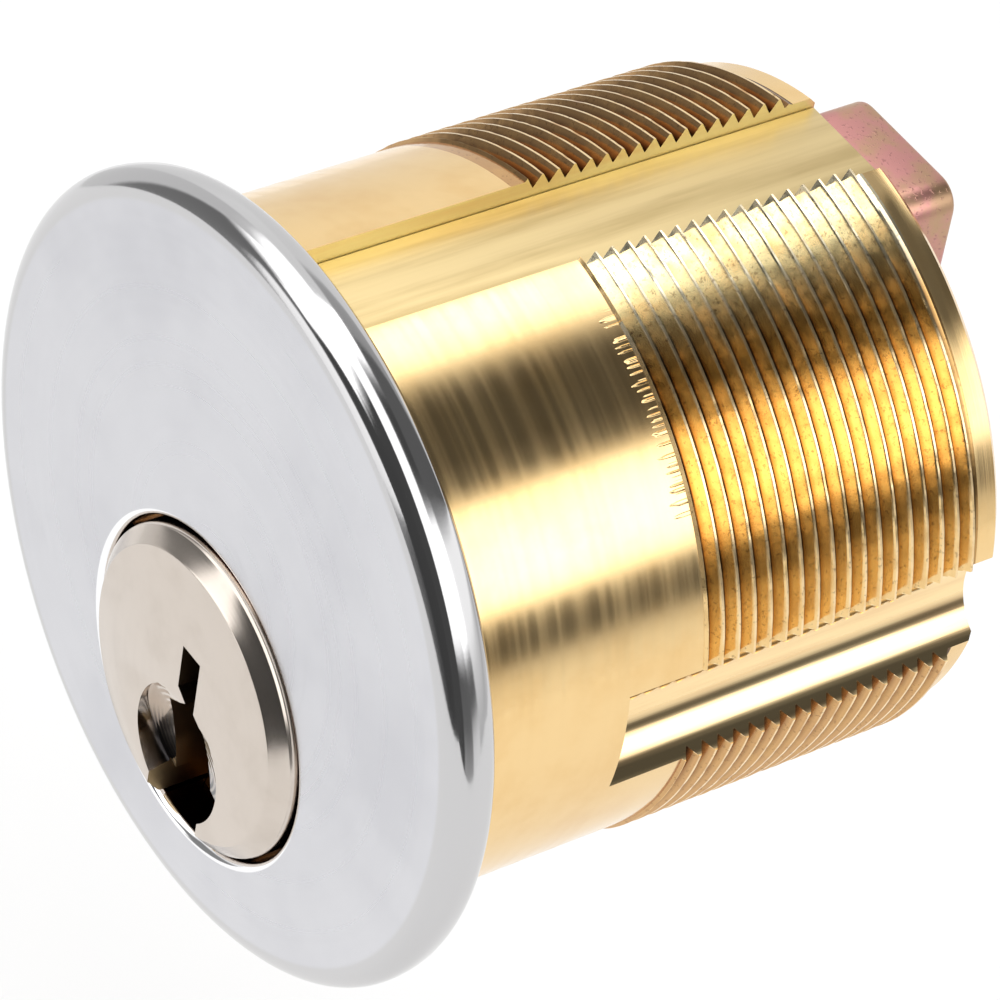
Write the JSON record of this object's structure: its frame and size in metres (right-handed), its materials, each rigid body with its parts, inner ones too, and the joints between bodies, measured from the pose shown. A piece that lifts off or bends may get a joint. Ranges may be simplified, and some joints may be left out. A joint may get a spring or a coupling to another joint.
{
  "type": "mortise cylinder",
  "caption": "Round threaded lock cylinder with a flat, round-sided satin head, a keyed plug set low in it, pin stacks on springs, a cover strip and a straight cam on the back.",
  "frame": {"origin": "on the body's axis, in the plane of the head's seat", "axes": "+Y runs along the threaded body to the cam, the face looks along -Y, and +Z points to 12 o'clock, over the pin chambers"},
  "size_m": [0.034, 0.0326, 0.034],
  "materials": {
    "turned_brass": "bright turned brass, fine lathe lines, dark in the thread roots",
    "satin_chrome": "satin plate with fine circular brushing and a polished rim",
    "nickel_plate": "warm nickel plate with a mirror bevel",
    "strip_brass": "dull rolled brass with streaks along its length",
    "yellow_zinc": "grainy rose and gold chromated zinc",
    "screw_steel": "zinc plated",
    "pin_brass": "bright turned",
    "spring_steel": "bright drawn wire"
  },
  "bodies": {
    "shell": {"shell": "turned_brass", "chamber_cover": "strip_brass", "pin_spring_1": "spring_steel", "pin_spring_2": "spring_steel", "pin_spring_3": "spring_steel", "pin_spring_4": "spring_steel", "pin_spring_5": "spring_steel", "pin_spring_6": "spring_steel"},
    "plug": {"plug": "nickel_plate", "cam": "yellow_zinc", "cam_screw_1": "screw_steel", "cam_screw_2": "screw_steel"},
    "bottom_pin_1": {"bottom_pin_1": "pin_brass"},
    "driver_pin_1": {"driver_pin_1": "pin_brass"},
    "bottom_pin_2": {"bottom_pin_2": "pin_brass"},
    "driver_pin_2": {"driver_pin_2": "pin_brass"},
    "bottom_pin_3": {"bottom_pin_3": "pin_brass"},
    "driver_pin_3": {"driver_pin_3": "pin_brass"},
    "bottom_pin_4": {"bottom_pin_4": "pin_brass"},
    "driver_pin_4": {"driver_pin_4": "pin_brass"},
    "bottom_pin_5": {"bottom_pin_5": "pin_brass"},
    "driver_pin_5": {"driver_pin_5": "pin_brass"},
    "bottom_pin_6": {"bottom_pin_6": "pin_brass"},
    "driver_pin_6": {"driver_pin_6": "pin_brass"}
  },
  "joints": [
    {"name": "plug_turn", "type": "hinge", "parent": "shell", "child": "plug", "pos_m": [0, 0, -0.00585], "axis": [0, 1, 0], "continuous": true},
    {"name": "bottom_pin_1_lift", "type": "slide", "parent": "plug", "child": "bottom_pin_1", "axis": [0, 0, 1], "range_m": [-0.00221, 0]},
    {"name": "driver_pin_1_lift", "type": "slide", "parent": "shell", "child": "driver_pin_1", "axis": [0, 0, 1], "range_m": [0, 0.002], "stiffness_N_per_m": 150, "springref_m": -0.004, "deforming": ["pin_spring_1"]},
    {"name": "bottom_pin_2_lift", "type": "slide", "parent": "plug", "child": "bottom_pin_2", "axis": [0, 0, 1], "range_m": [-0.00111, 0]},
    {"name": "driver_pin_2_lift", "type": "slide", "parent": "shell", "child": "driver_pin_2", "axis": [0, 0, 1], "range_m": [0, 0.002], "stiffness_N_per_m": 150, "springref_m": -0.004, "deforming": ["pin_spring_2"]},
    {"name": "bottom_pin_3_lift", "type": "slide", "parent": "plug", "child": "bottom_pin_3", "axis": [0, 0, 1], "range_m": [-0.00261, 0]},
    {"name": "driver_pin_3_lift", "type": "slide", "parent": "shell", "child": "driver_pin_3", "axis": [0, 0, 1], "range_m": [0, 0.002], "stiffness_N_per_m": 150, "springref_m": -0.004, "deforming": ["pin_spring_3"]},
    {"name": "bottom_pin_4_lift", "type": "slide", "parent": "plug", "child": "bottom_pin_4", "axis": [0, 0, 1], "range_m": [-0.00151, 0]},
    {"name": "driver_pin_4_lift", "type": "slide", "parent": "shell", "child": "driver_pin_4", "axis": [0, 0, 1], "range_m": [0, 0.002], "stiffness_N_per_m": 150, "springref_m": -0.004, "deforming": ["pin_spring_4"]},
    {"name": "bottom_pin_5_lift", "type": "slide", "parent": "plug", "child": "bottom_pin_5", "axis": [0, 0, 1], "range_m": [-0.00071, 0]},
    {"name": "driver_pin_5_lift", "type": "slide", "parent": "shell", "child": "driver_pin_5", "axis": [0, 0, 1], "range_m": [0, 0.002], "stiffness_N_per_m": 150, "springref_m": -0.004, "deforming": ["pin_spring_5"]},
    {"name": "bottom_pin_6_lift", "type": "slide", "parent": "plug", "child": "bottom_pin_6", "axis": [0, 0, 1], "range_m": [-0.00191, 0]},
    {"name": "driver_pin_6_lift", "type": "slide", "parent": "shell", "child": "driver_pin_6", "axis": [0, 0, 1], "range_m": [0, 0.002], "stiffness_N_per_m": 150, "springref_m": -0.004, "deforming": ["pin_spring_6"]}
  ]
}
